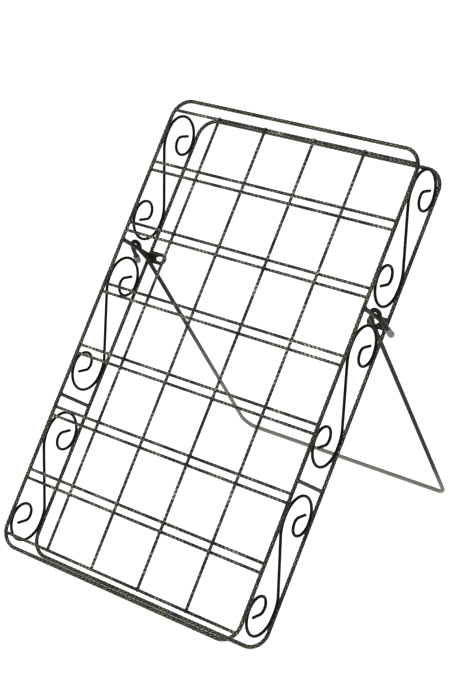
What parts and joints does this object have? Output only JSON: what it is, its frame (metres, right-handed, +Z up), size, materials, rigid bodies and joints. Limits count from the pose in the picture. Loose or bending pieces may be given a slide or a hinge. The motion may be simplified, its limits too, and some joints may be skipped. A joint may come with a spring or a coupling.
{
  "type": "photo album stand",
  "caption": "Wire rack for photo album pages: a gridded rounded frame joined to a rear frame by side scrolls, leaning back on a folding U-shaped prop leg.",
  "frame": {"origin": "on the floor, under the middle of the standing object's bounding box", "axes": "+Z up, +X to the viewer's right seen from the front, +Y towards the prop leg at the back"},
  "size_m": [0.3269, 0.4016, 0.4269],
  "materials": {
    "frame_wire": "embossed wire in black with worn pale bronze highlights",
    "grid_wire": "embossed thin wire in black with worn pale bronze highlights",
    "scroll_wire": "smooth semi-gloss black",
    "bar_wire": "smooth semi-gloss black",
    "leg_wire": "smooth semi-gloss dark grey-green",
    "tip_cap": "soft grey cap"
  },
  "bodies": {
    "rack": {"front_frame": "frame_wire", "rear_frame": "frame_wire", "stop_ring_left": "frame_wire", "stop_ring_right": "frame_wire", "grid_rail_bottom": "grid_wire", "grid_rail_top": "grid_wire", "cross_wires_1": "grid_wire", "cross_wires_2": "grid_wire", "cross_wires_3": "grid_wire", "cross_wires_4": "grid_wire", "cross_wires_5": "grid_wire", "cross_wires_6": "grid_wire", "upright_1": "grid_wire", "upright_2": "grid_wire", "upright_3": "grid_wire", "upright_4": "grid_wire", "scroll_left_low": "scroll_wire", "scroll_left_mid": "scroll_wire", "scroll_left_high": "scroll_wire", "scroll_right_low": "scroll_wire", "scroll_right_mid": "scroll_wire", "scroll_right_high": "scroll_wire", "pivot_bar_left": "bar_wire", "spacer_bar_left": "bar_wire", "pivot_bar_right": "bar_wire", "spacer_bar_right": "bar_wire"},
    "prop_leg": {"prop_leg": "leg_wire", "tail_tip_left": "tip_cap", "tail_tip_right": "tip_cap"}
  },
  "joints": [
    {"name": "leg_fold", "type": "hinge", "parent": "rack", "child": "prop_leg", "pos_m": [0, 0.03004, 0.2826], "axis": [-1, 0, 0], "range_deg": [0, 72]}
  ]
}
